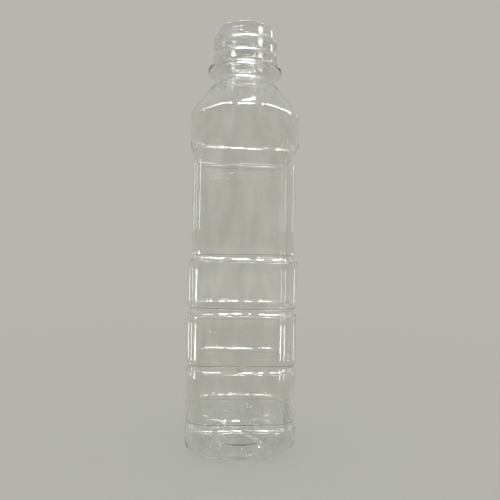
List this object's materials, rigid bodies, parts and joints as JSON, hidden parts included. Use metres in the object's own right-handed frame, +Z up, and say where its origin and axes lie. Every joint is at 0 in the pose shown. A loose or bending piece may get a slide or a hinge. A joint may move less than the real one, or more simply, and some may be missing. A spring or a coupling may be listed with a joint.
{
  "type": "square PET bottle",
  "caption": "Clear blow-moulded bottle with a square ribbed body, recessed label panel, pushed-up base and round threaded neck, open and without its cap.",
  "frame": {"origin": "centre of the base on the plane that the bottle stands on", "axes": "+Z up through the mouth, X and Y square to the flat faces"},
  "size_m": [0.0484, 0.0484, 0.1945],
  "materials": {
    "clear_pet": "clear, glossy, blow-moulded"
  },
  "bodies": {
    "root": {"bottle": "clear_pet"}
  },
  "joints": []
}
